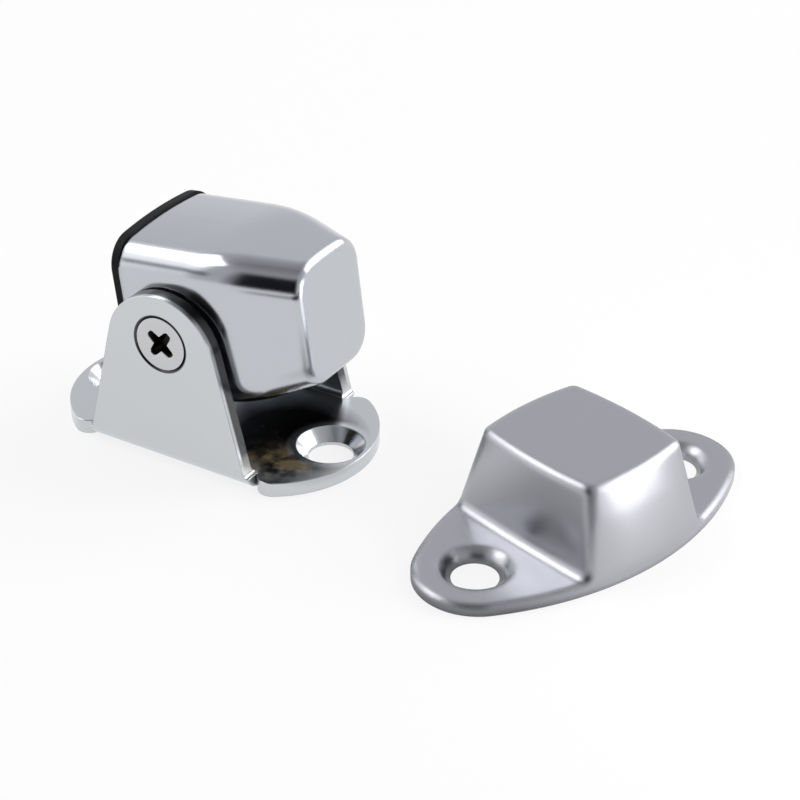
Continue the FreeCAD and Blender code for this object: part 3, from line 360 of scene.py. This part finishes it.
# Natural nylon: a milky, waxy plastic with a faint satin grain. Light goes a little way
# into it, so the thin rims in the dark gaps look soft.
natural_nylon, tree = new_material("natural_nylon")
place = add_node(tree, "ShaderNodeTexCoord").outputs["Object"]
grain = add_node(tree, "ShaderNodeTexNoise", {"Scale": 1 / NYLON_GRAIN, "Detail": 3.0}, {"Vector": place})
grain_bump = add_node(tree, "ShaderNodeBump", {"Strength": 0.15, "Distance": 0.02 * MM},
                      {"Height": grain.outputs["Fac"]})
shader = add_node(tree, "ShaderNodeBsdfPrincipled",
                  {"Base Color": linear(NYLON), "Roughness": 0.42,
                   "Subsurface Weight": 0.2, "Subsurface Scale": NYLON_SCATTER},
                  {"Normal": grain_bump.outputs["Normal"]})
add_node(tree, "ShaderNodeOutputMaterial", None, {"Surface": shader.outputs["BSDF"]})
for washer in ("washer_near", "washer_far"):
    nodes[washer].material_slots[0].material = natural_nylon

# Magnet housing: a zinc die casting, barrel polished and then plated with nickel and
# chromium. It turns on the pivot screw and holds the black magnet carrier in its mouth.

BRIGHT_CHROMIUM = "#c0c3c8"
HOUSING_WAVE = 9 * MM
HOUSING_PATCH = 4 * MM
HOUSING_EDGE = 0.9 * MM

# Bright chromium on a polished casting: a broad, faint waviness from the polishing and
# patches of slightly duller gloss, so that reflections bend and fade at their edges.
bright_chrome, tree = new_material("bright_chrome_plate")
place = add_node(tree, "ShaderNodeTexCoord").outputs["Object"]
waves = add_node(tree, "ShaderNodeTexNoise", {"Scale": 1 / HOUSING_WAVE, "Detail": 1.0}, {"Vector": place})
softened = add_node(tree, "ShaderNodeBevel", {"samples": 6, "Radius": HOUSING_EDGE}).outputs["Normal"]
waves_bump = add_node(tree, "ShaderNodeBump", {"Strength": 0.04, "Distance": 0.2 * MM},
                      {"Height": waves.outputs["Fac"], "Normal": softened})
patches = add_node(tree, "ShaderNodeTexNoise", {"Scale": 1 / HOUSING_PATCH, "Detail": 5.0},
                   {"Vector": place})
gloss = add_node(tree, "ShaderNodeMapRange", {"To Min": 0.1, "To Max": 0.16},
                 {"Value": patches.outputs["Fac"]})
shader = add_node(tree, "ShaderNodeBsdfPrincipled",
                  {"Base Color": linear(BRIGHT_CHROMIUM), "Metallic": 1.0},
                  {"Roughness": gloss.outputs["Result"], "Normal": waves_bump.outputs["Normal"]})
add_node(tree, "ShaderNodeOutputMaterial", None, {"Surface": shader.outputs["BSDF"]})
nodes["magnet_housing"].material_slots[0].material = bright_chrome

# Magnet carrier: a black nylon moulding pressed into the housing's mouth. Its rim stands
# in front of the metal as a thin bezel, and its well holds the magnet and its two plates.

BLACK_NYLON = "#08090d"
MOULD_TEXTURE = 0.2 * MM
GLOSSY_PATCH = 3 * MM

# Moulded black nylon: the fine eroded texture of its mould and a few softer, glossier
# patches, so that the bezel reads as a matt black line against the chromium.
black_nylon, tree = new_material("black_moulded_nylon")
place = add_node(tree, "ShaderNodeTexCoord").outputs["Object"]
texture = add_node(tree, "ShaderNodeTexNoise", {"Scale": 1 / MOULD_TEXTURE, "Detail": 3.0},
                   {"Vector": place})
texture_bump = add_node(tree, "ShaderNodeBump", {"Strength": 0.25, "Distance": 0.03 * MM},
                        {"Height": texture.outputs["Fac"]})
patches = add_node(tree, "ShaderNodeTexNoise", {"Scale": 1 / GLOSSY_PATCH, "Detail": 3.0},
                   {"Vector": place})
gloss = add_node(tree, "ShaderNodeMapRange", {"To Min": 0.45, "To Max": 0.6},
                 {"Value": patches.outputs["Fac"]})
shader = add_node(tree, "ShaderNodeBsdfPrincipled",
                  {"Base Color": linear(BLACK_NYLON), "Specular IOR Level": 0.15},
                  {"Roughness": gloss.outputs["Result"], "Normal": texture_bump.outputs["Normal"]})
add_node(tree, "ShaderNodeOutputMaterial", None, {"Surface": shader.outputs["BSDF"]})
nodes["magnet_carrier"].material_slots[0].material = black_nylon

# Magnet block: a sintered ferrite block, ground on its faces and clamped between the two
# pole plates in the carrier's well, set back a little from their edges.

FERRITE_DARK = "#2b2b2e"
FERRITE_PALE = "#48484c"
FERRITE_GRAIN = 0.25 * MM
FERRITE_PIT = 0.6 * MM

# Ground ferrite: charcoal grey with a dull, faintly grainy shine and tiny pits where
# grains broke out in grinding, so that it looks like a ceramic rather than a metal.
ferrite, tree = new_material("ground_ferrite")
place = add_node(tree, "ShaderNodeTexCoord").outputs["Object"]
grains = add_node(tree, "ShaderNodeTexNoise",
                  {"Scale": 1 / FERRITE_GRAIN, "Detail": 6.0, "Roughness": 0.7}, {"Vector": place})
tone = add_node(tree, "ShaderNodeValToRGB", None, {"Fac": grains.outputs["Fac"]})
tone.color_ramp.elements[0].position = 0.35
tone.color_ramp.elements[0].color = linear(FERRITE_DARK)
tone.color_ramp.elements[1].position = 0.7
tone.color_ramp.elements[1].color = linear(FERRITE_PALE)
pits = add_node(tree, "ShaderNodeTexVoronoi", {"Scale": 1 / FERRITE_PIT}, {"Vector": place})
pit_floor = add_node(tree, "ShaderNodeMapRange", {"From Min": 0.05, "From Max": 0.16},
                     {"Value": pits.outputs["Distance"]})
pits_bump = add_node(tree, "ShaderNodeBump", {"Strength": 0.3, "Distance": 0.05 * MM},
                     {"Height": pit_floor.outputs["Result"]})
shader = add_node(tree, "ShaderNodeBsdfPrincipled", {"Roughness": 0.55},
                  {"Base Color": tone.outputs["Color"], "Normal": pits_bump.outputs["Normal"]})
add_node(tree, "ShaderNodeOutputMaterial", None, {"Surface": shader.outputs["BSDF"]})
nodes["magnet_block"].material_slots[0].material = ferrite

# Pole plates: two strips sheared from mild steel and zinc plated, one above and one
# below the magnet. Their edges stand a little in front and touch the strike.

ZINC = "#b9bdc2"
ROLL_LINE_LENGTH = 6 * MM
ROLL_LINE_PITCH = 0.2 * MM
ZINC_CLOUD = 2 * MM

# Zinc plated strip: rolling lines along the plate and a cloudy bluish plate that has
# dulled in places, so that the edges look soft grey beside the chromium.
zinc_plate, tree = new_material("zinc_plated_strip")
place = add_node(tree, "ShaderNodeTexCoord").outputs["Object"]
roll_place = add_node(tree, "ShaderNodeMapping",
                      {"Scale": (1 / ROLL_LINE_PITCH, 1 / ROLL_LINE_LENGTH, 1 / ROLL_LINE_PITCH)},
                      {"Vector": place})
rolling = add_node(tree, "ShaderNodeTexNoise", {"Scale": 1.0, "Detail": 3.0},
                   {"Vector": roll_place.outputs["Vector"]})
rolling_bump = add_node(tree, "ShaderNodeBump", {"Strength": 0.2, "Distance": 0.03 * MM},
                        {"Height": rolling.outputs["Fac"]})
clouds = add_node(tree, "ShaderNodeTexNoise", {"Scale": 1 / ZINC_CLOUD, "Detail": 4.0}, {"Vector": place})
gloss = add_node(tree, "ShaderNodeMapRange", {"To Min": 0.3, "To Max": 0.5},
                 {"Value": clouds.outputs["Fac"]})
shader = add_node(tree, "ShaderNodeBsdfPrincipled", {"Base Color": linear(ZINC), "Metallic": 1.0},
                  {"Roughness": gloss.outputs["Result"], "Normal": rolling_bump.outputs["Normal"]})
add_node(tree, "ShaderNodeOutputMaterial", None, {"Surface": shader.outputs["BSDF"]})
for plate in ("pole_plate_upper", "pole_plate_lower"):
    nodes[plate].material_slots[0].material = zinc_plate

# Strike: a steel casting, hollow underneath, with a raised block between two countersunk
# tabs. It was ground, polished and plated like the housing but left a little softer. Two
# screws fix it to the door, and the magnet holds on to its block.

SOFT_CHROMIUM = "#b0b1b6"
STRIKE_WAVE = 7 * MM
STRIKE_PEEL = 0.8 * MM
STRIKE_CLOUD = 4 * MM
STRIKE_EDGE = 1.5 * MM

# Soft chromium over cast steel: a slight orange peel from the casting, longer waves from
# the polishing and a cloudy gloss, so that its broad faces shine evenly and its edges
# catch the light.
soft_chrome, tree = new_material("soft_chrome_plate")
place = add_node(tree, "ShaderNodeTexCoord").outputs["Object"]
waves = add_node(tree, "ShaderNodeTexNoise", {"Scale": 1 / STRIKE_WAVE, "Detail": 1.0}, {"Vector": place})
softened = add_node(tree, "ShaderNodeBevel", {"samples": 6, "Radius": STRIKE_EDGE}).outputs["Normal"]
waves_bump = add_node(tree, "ShaderNodeBump", {"Strength": 0.05, "Distance": 0.2 * MM},
                      {"Height": waves.outputs["Fac"], "Normal": softened})
peel = add_node(tree, "ShaderNodeTexNoise", {"Scale": 1 / STRIKE_PEEL, "Detail": 2.0}, {"Vector": place})
peel_bump = add_node(tree, "ShaderNodeBump", {"Strength": 0.015, "Distance": 0.02 * MM},
                     {"Height": peel.outputs["Fac"], "Normal": waves_bump.outputs["Normal"]})
clouds = add_node(tree, "ShaderNodeTexNoise", {"Scale": 1 / STRIKE_CLOUD, "Detail": 5.0}, {"Vector": place})
gloss = add_node(tree, "ShaderNodeMapRange", {"To Min": 0.2, "To Max": 0.29},
                 {"Value": clouds.outputs["Fac"]})
shader = add_node(tree, "ShaderNodeBsdfPrincipled",
                  {"Base Color": linear(SOFT_CHROMIUM), "Metallic": 1.0},
                  {"Roughness": gloss.outputs["Result"], "Normal": peel_bump.outputs["Normal"]})
add_node(tree, "ShaderNodeOutputMaterial", None, {"Surface": shader.outputs["BSDF"]})
nodes["strike"].material_slots[0].material = soft_chrome

# Camera: a long lens looks down on the pair from the front right, as in the photo. Its
# place and its angles come from a fit to the pair's outlines.

AZIMUTH = math.radians(31.3)
ELEVATION = math.radians(31.64)
CAMERA_PLACE = (0.16087, -0.21898, 0.17012)
FOCAL_LENGTH = 106.8
SENSOR_WIDTH = 36.0
NEAREST_SEEN = 0.01

camera_data = bpy.data.cameras.new("camera")
camera_data.lens = FOCAL_LENGTH
camera_data.sensor_width = SENSOR_WIDTH
camera_data.clip_start = NEAREST_SEEN
camera = bpy.data.objects.new("camera", camera_data)
bpy.context.scene.collection.objects.link(camera)
camera.location = CAMERA_PLACE
camera.rotation_euler = (math.pi / 2 - ELEVATION, 0, AZIMUTH)
bpy.context.scene.camera = camera

# Floor: a wide sheet of white card. Only part of its white comes from the lamps, so that
# it keeps the pair's shadow and still runs into the white behind it. For mirrored rays
# alone it holds two painted dark reflections: a dark band in front, like a bench's edge,
# and a dark patch beside the strike.

FLOOR_SIZE = 4.0
CARD = "#f6f6f7"
CARD_GLOW = 0.8
PAINTED_DARK = "#1d1e22"
TOWARDS_CAMERA = (0.5195, -0.8545, 0)
CAMERA_RIGHT = (0.8545, 0.5195, 0)
FRONT_DARK_START = 100 * MM
FRONT_DARK_FULL = 120 * MM
FRONT_DARK_LEFT_START = -80 * MM
FRONT_DARK_LEFT_FULL = -40 * MM
PATCH_PLACE = (44 * MM, -26 * MM, 0)
PATCH_FULL = 13 * MM
PATCH_END = 27 * MM
PATCH_SHARE = 0.55

floor_mesh = bmesh.new()
bmesh.ops.create_grid(floor_mesh, x_segments=1, y_segments=1, size=FLOOR_SIZE / 2)
floor_data = bpy.data.meshes.new("floor")
floor_mesh.to_mesh(floor_data)
floor_mesh.free()
floor = bpy.data.objects.new("floor", floor_data)
bpy.context.scene.collection.objects.link(floor)
white_card, tree = new_material("white_card")
rays = add_node(tree, "ShaderNodeLightPath")
seen = add_node(tree, "ShaderNodeMath", {"operation": "ADD"},
                {0: rays.outputs["Is Camera Ray"], 1: rays.outputs["Is Glossy Ray"]})
seen = add_node(tree, "ShaderNodeMath", {"operation": "ADD", "use_clamp": True},
                {0: seen.outputs["Value"], 1: rays.outputs["Is Transmission Ray"]})
share = add_node(tree, "ShaderNodeMath", {"operation": "MULTIPLY", 1: CARD_GLOW},
                 {0: seen.outputs["Value"]})
card = add_node(tree, "ShaderNodeBsdfDiffuse", {"Color": linear(CARD)})
glow = add_node(tree, "ShaderNodeEmission", {"Color": (1, 1, 1, 1), "Strength": 1.0})
mixed = add_node(tree, "ShaderNodeMixShader", None,
                 {0: share.outputs["Value"], 1: card.outputs["BSDF"], 2: glow.outputs["Emission"]})
# Where the painted dark reflections lie, the band in front and the patch, which only mirrored rays find.
place = add_node(tree, "ShaderNodeTexCoord").outputs["Object"]
ahead = add_node(tree, "ShaderNodeVectorMath", {"operation": "DOT_PRODUCT", 1: TOWARDS_CAMERA},
                 {0: place})
beyond_edge = add_node(tree, "ShaderNodeMapRange", {"From Min": FRONT_DARK_START, "From Max": FRONT_DARK_FULL},
                       {"Value": ahead.outputs["Value"]})
sideways = add_node(tree, "ShaderNodeVectorMath", {"operation": "DOT_PRODUCT", 1: CAMERA_RIGHT},
                    {0: place})
before_camera = add_node(tree, "ShaderNodeMapRange",
                         {"From Min": FRONT_DARK_LEFT_START, "From Max": FRONT_DARK_LEFT_FULL},
                         {"Value": sideways.outputs["Value"]})
front_dark_share = add_node(tree, "ShaderNodeMath", {"operation": "MULTIPLY"},
                       {0: beyond_edge.outputs["Result"], 1: before_camera.outputs["Result"]})
from_patch = add_node(tree, "ShaderNodeVectorMath", {"operation": "DISTANCE", 1: PATCH_PLACE},
                      {0: place})
patch_share = add_node(tree, "ShaderNodeMapRange",
                       {"From Min": PATCH_FULL, "From Max": PATCH_END, "To Min": PATCH_SHARE, "To Max": 0.0},
                       {"Value": from_patch.outputs["Value"]})
dark_share = add_node(tree, "ShaderNodeMath", {"operation": "MAXIMUM"},
                      {0: front_dark_share.outputs["Value"], 1: patch_share.outputs["Result"]})
mirrored_dark = add_node(tree, "ShaderNodeMath", {"operation": "MULTIPLY"},
                         {0: dark_share.outputs["Value"], 1: rays.outputs["Is Glossy Ray"]})
dark_reflection = add_node(tree, "ShaderNodeBsdfDiffuse", {"Color": linear(PAINTED_DARK)})
mixed = add_node(tree, "ShaderNodeMixShader", None,
                 {0: mirrored_dark.outputs["Value"], 1: mixed.outputs["Shader"], 2: dark_reflection.outputs["BSDF"]})
add_node(tree, "ShaderNodeOutputMaterial", None, {"Surface": mixed.outputs["Shader"]})
floor_data.materials.append(white_card)

# Lamps: a softbox behind on the right, one overhead on the left, and a small bright card
# close by on the right, which lights the side of the strike.

LAMP_AIM = Vector((0.02, 0, 0.01))


def softbox(name, azimuth, elevation, distance, width, height, radiance):
    """A rectangular lamp in that direction in degrees, turned towards the pair."""
    data = bpy.data.lights.new(name, "AREA")
    data.shape = "RECTANGLE"
    data.size = width
    data.size_y = height
    data.energy = radiance * width * height * math.pi
    lamp = bpy.data.objects.new(name, data)
    bpy.context.scene.collection.objects.link(lamp)
    around = math.radians(azimuth)
    above = math.radians(elevation)
    toward = Vector((math.cos(around) * math.cos(above), math.sin(around) * math.cos(above),
                     math.sin(above)))
    lamp.location = LAMP_AIM + toward * distance
    lamp.rotation_euler = toward.to_track_quat("Z", "Y").to_euler()
    lamp.visible_camera = False


softbox("softbox_behind", azimuth=50, elevation=30, distance=0.8, width=0.6, height=0.5, radiance=3.5)
softbox("softbox_overhead", azimuth=-160, elevation=51, distance=0.7, width=0.4, height=0.26, radiance=3.4)
softbox("card_right", azimuth=11, elevation=5, distance=0.1, width=0.03, height=0.05, radiance=5.2)

# Room: pale walls that darken upwards, a dimmer front, a dark part where the camera
# stands, a bright wall on the left and a low dark band beside it. The camera sees only
# white, and the polished metal mirrors the room above a low band of that white.

WALL_TONES = [(0.0, 0.95), (0.2, 0.84), (0.4, 0.76), (0.6, 0.76), (0.72, 0.78), (1.0, 0.35)]
WALL_BLUE = 1.03
BACK_WAY = (-0.3, 0.95, 0)
FRONT_LEVEL = 0.75
DARK_ROOM = "#1b1d24"
CAMERA_WAY = (0.342, -0.94, 0)
BRIGHT_WALL_WAY = (-0.951, -0.309, 0)
BRIGHT_WALL = (1.5, 1.5, 1.5, 1.0)
DARK_BAND_WAY = (-0.669, -0.743, 0)
DARK_BAND_SHARE = 0.75

world = bpy.data.worlds.new("studio")
bpy.context.scene.world = world
world.use_nodes = True
tree = world.node_tree
tree.nodes.clear()
way = add_node(tree, "ShaderNodeTexCoord").outputs["Generated"]
height = add_node(tree, "ShaderNodeSeparateXYZ", None, {"Vector": way}).outputs["Z"]
walls = add_node(tree, "ShaderNodeValToRGB", None, {"Fac": height})
while len(walls.color_ramp.elements) < len(WALL_TONES):
    walls.color_ramp.elements.new(1.0)
for stop, (position, grey) in zip(walls.color_ramp.elements, WALL_TONES):
    stop.position = position
    stop.color = (grey, grey, grey * WALL_BLUE, 1)
level = add_node(tree, "ShaderNodeVectorMath", {"operation": "MULTIPLY", 1: (1, 1, 0)}, {0: way})
level = add_node(tree, "ShaderNodeVectorMath", {"operation": "NORMALIZE"}, {0: level.outputs["Vector"]})
# The front is dimmer than the back.
back = add_node(tree, "ShaderNodeVectorMath", {"operation": "DOT_PRODUCT", 1: BACK_WAY},
                {0: level.outputs["Vector"]})
back_share = add_node(tree, "ShaderNodeMapRange",
                      {"From Min": -0.3, "From Max": 0.3, "To Min": FRONT_LEVEL, "To Max": 1.0},
                      {"Value": back.outputs["Value"]})
lit_walls = add_node(tree, "ShaderNodeMix", {"data_type": "RGBA", "blend_type": "MULTIPLY", 0: 1.0},
                     {6: walls.outputs["Color"], 7: back_share.outputs["Result"]})
# The dark part where the camera stands ends at about 50 degrees above the floor.
front = add_node(tree, "ShaderNodeVectorMath", {"operation": "DOT_PRODUCT", 1: CAMERA_WAY},
                 {0: level.outputs["Vector"]})
front_share = add_node(tree, "ShaderNodeMapRange", {"From Min": 0.82, "From Max": 0.93},
                       {"Value": front.outputs["Value"]})
low_share = add_node(tree, "ShaderNodeMapRange",
                     {"From Min": 0.72, "From Max": 0.84, "To Min": 1.0, "To Max": 0.0}, {"Value": height})
shade = add_node(tree, "ShaderNodeMath", {"operation": "MULTIPLY"},
                 {0: front_share.outputs["Result"], 1: low_share.outputs["Result"]})
# The bright wall on the left ends at about 45 degrees.
left = add_node(tree, "ShaderNodeVectorMath", {"operation": "DOT_PRODUCT", 1: BRIGHT_WALL_WAY},
                {0: level.outputs["Vector"]})
left_share = add_node(tree, "ShaderNodeMapRange", {"From Min": 0.78, "From Max": 0.9},
                      {"Value": left.outputs["Value"]})
left_low = add_node(tree, "ShaderNodeMapRange",
                    {"From Min": 0.66, "From Max": 0.76, "To Min": 1.0, "To Max": 0.0}, {"Value": height})
left_light = add_node(tree, "ShaderNodeMath", {"operation": "MULTIPLY"},
                      {0: left_share.outputs["Result"], 1: left_low.outputs["Result"]})
all_walls = add_node(tree, "ShaderNodeMix", {"data_type": "RGBA", 7: BRIGHT_WALL},
                     {0: left_light.outputs["Value"], 6: lit_walls.outputs[2]})
# The dark band beside it lies between about 16 and 25 degrees.
beside = add_node(tree, "ShaderNodeVectorMath", {"operation": "DOT_PRODUCT", 1: DARK_BAND_WAY},
                  {0: level.outputs["Vector"]})
beside_share = add_node(tree, "ShaderNodeMapRange", {"From Min": 0.95, "From Max": 0.98},
                        {"Value": beside.outputs["Value"]})
band_foot = add_node(tree, "ShaderNodeMapRange", {"From Min": 0.24, "From Max": 0.32}, {"Value": height})
band_top = add_node(tree, "ShaderNodeMapRange",
                    {"From Min": 0.4, "From Max": 0.46, "To Min": DARK_BAND_SHARE, "To Max": 0.0},
                    {"Value": height})
band = add_node(tree, "ShaderNodeMath", {"operation": "MULTIPLY"},
                {0: band_foot.outputs["Result"], 1: band_top.outputs["Result"]})
band_shade = add_node(tree, "ShaderNodeMath", {"operation": "MULTIPLY"},
                      {0: beside_share.outputs["Result"], 1: band.outputs["Value"]})
shade = add_node(tree, "ShaderNodeMath", {"operation": "ADD", "use_clamp": True},
                 {0: shade.outputs["Value"], 1: band_shade.outputs["Value"]})
room_colour = add_node(tree, "ShaderNodeMix", {"data_type": "RGBA", 7: linear(DARK_ROOM)},
                       {0: shade.outputs["Value"], 6: all_walls.outputs[2]})
room = add_node(tree, "ShaderNodeBackground", {"Strength": 1.0}, {"Color": room_colour.outputs[2]})
rays = add_node(tree, "ShaderNodeLightPath")
mirrored = add_node(tree, "ShaderNodeMath", {"operation": "ADD", "use_clamp": True},
                    {0: rays.outputs["Is Glossy Ray"], 1: rays.outputs["Is Transmission Ray"]})
# Mirrored rays find the white backdrop up to about 3 degrees.
low_band = add_node(tree, "ShaderNodeMapRange",
                    {"From Min": 0.02, "From Max": 0.06, "To Min": 1.0, "To Max": 0.0}, {"Value": height})
backdrop = add_node(tree, "ShaderNodeMath", {"operation": "MULTIPLY"},
                    {0: mirrored.outputs["Value"], 1: low_band.outputs["Result"]})
backdrop = add_node(tree, "ShaderNodeMath", {"operation": "ADD", "use_clamp": True},
                    {0: rays.outputs["Is Camera Ray"], 1: backdrop.outputs["Value"]})
white = add_node(tree, "ShaderNodeBackground", {"Color": (1, 1, 1, 1), "Strength": 1.0})
mixed = add_node(tree, "ShaderNodeMixShader", None,
                 {0: backdrop.outputs["Value"], 1: room.outputs["Background"],
                  2: white.outputs["Background"]})
add_node(tree, "ShaderNodeOutputWorld", None, {"Surface": mixed.outputs["Shader"]})

bpy.context.scene.view_settings.view_transform = "Standard"
